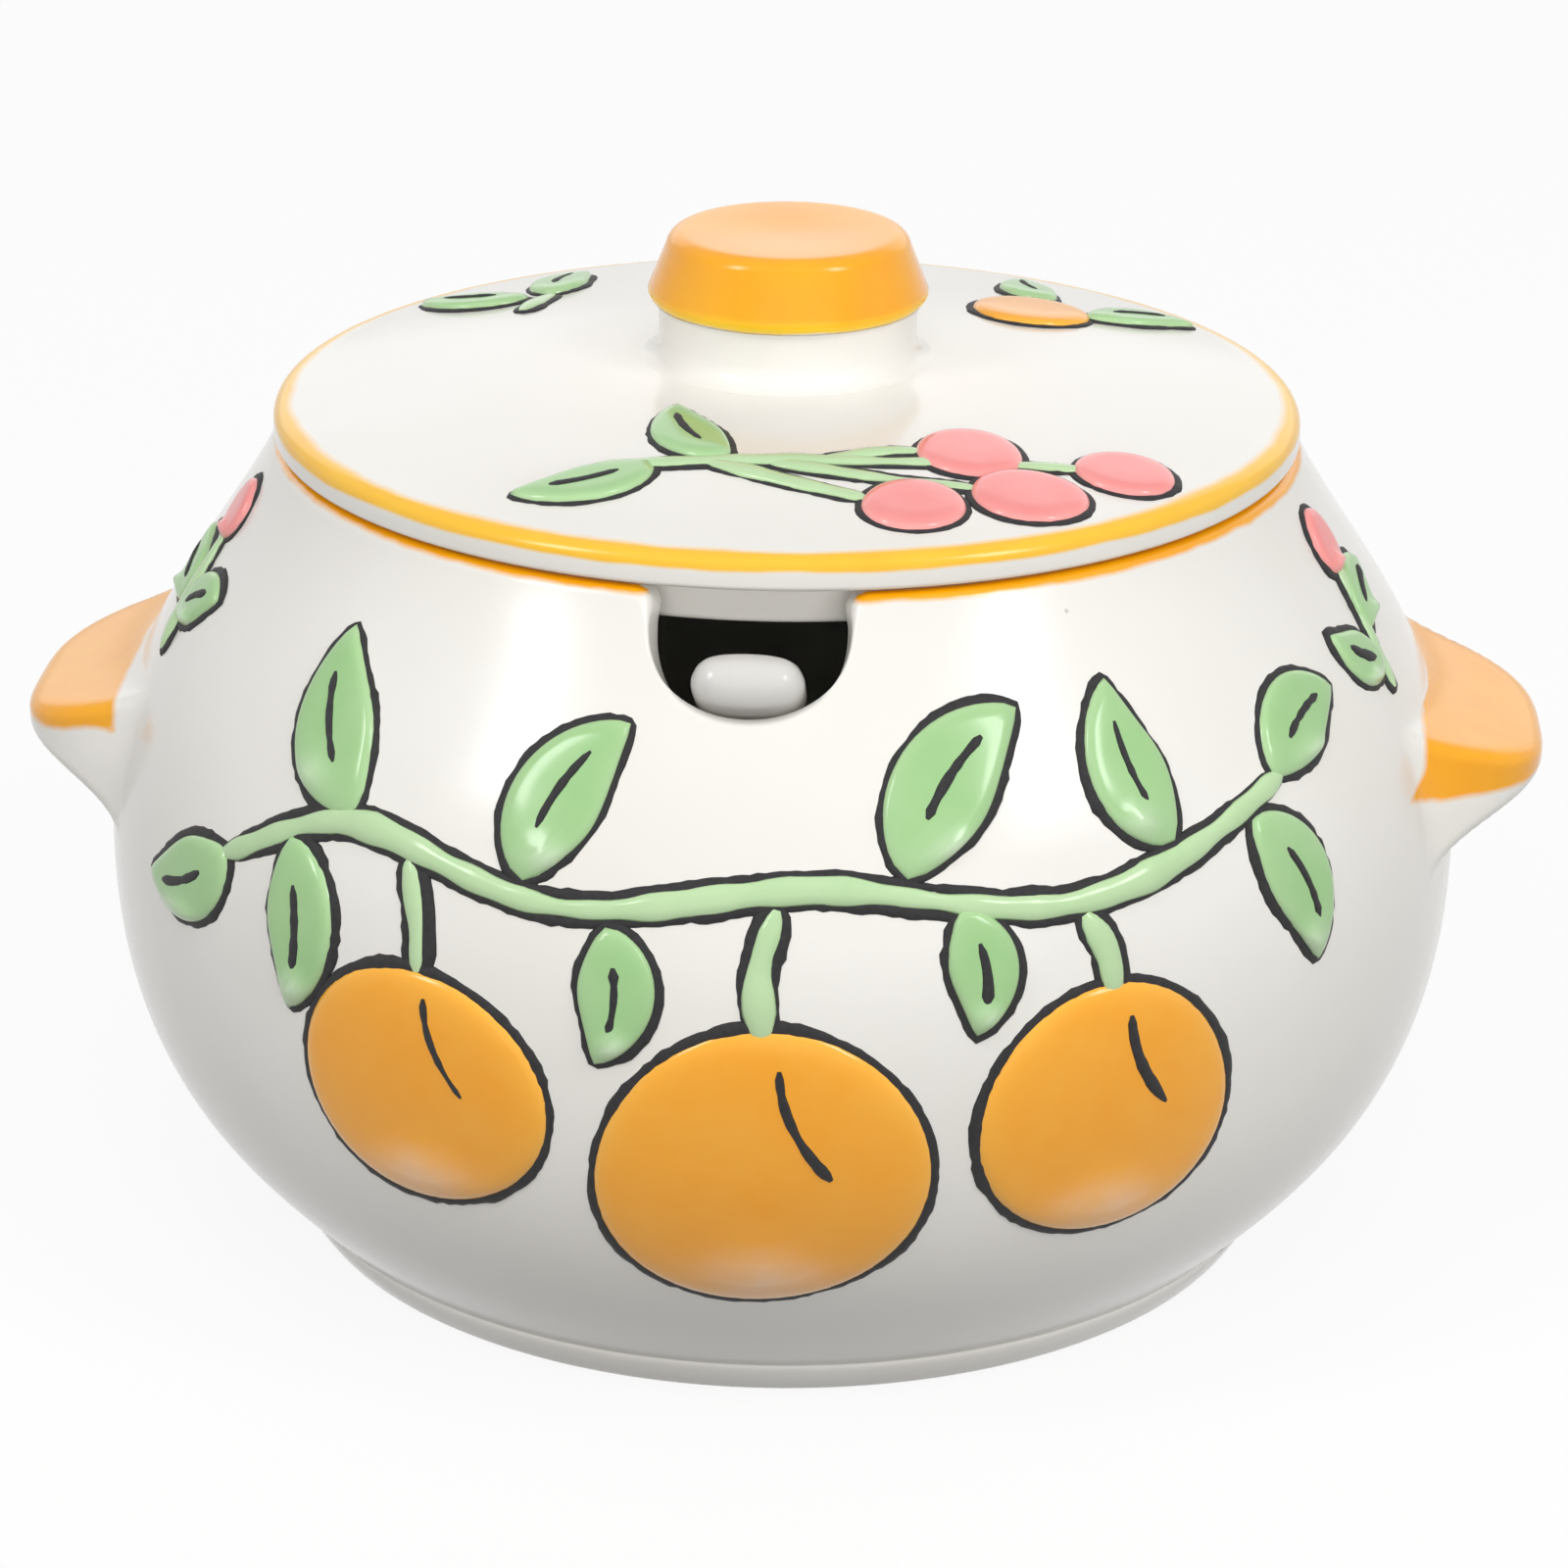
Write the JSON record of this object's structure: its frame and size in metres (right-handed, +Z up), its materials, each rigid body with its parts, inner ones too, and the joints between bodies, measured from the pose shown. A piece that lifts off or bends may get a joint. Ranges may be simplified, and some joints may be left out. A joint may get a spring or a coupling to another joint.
{
  "type": "condiment pot",
  "caption": "Round glazed ceramic condiment pot on a foot ring, with side lugs, a knobbed lift-off lid and a spoon that leans in a notch of the rim.",
  "frame": {"origin": "centre of the foot ring, on the surface that the pot stands on", "axes": "+Z up, +X towards the right lug, -Y towards the front, where the notch is"},
  "size_m": [0.1292, 0.115, 0.0863],
  "materials": {
    "white_glaze": "glossy warm white glaze over fired clay",
    "orange_glaze": "glossy orange glaze brushed over fired clay"
  },
  "bodies": {
    "pot": {"pot_body": "white_glaze", "lug_left": "orange_glaze", "lug_right": "orange_glaze"},
    "lid": {"lid_plate": "white_glaze", "lid_knob": "orange_glaze"},
    "spoon": {"spoon": "white_glaze"}
  },
  "joints": [
    {"name": "lid_lift", "type": "slide", "parent": "pot", "child": "lid", "axis": [0, 0, 1], "range_m": [0, 0.12]},
    {"name": "spoon_draw", "type": "slide", "parent": "pot", "child": "spoon", "axis": [0, -0.8294, 0.5586], "range_m": [0, 0.05]}
  ]
}
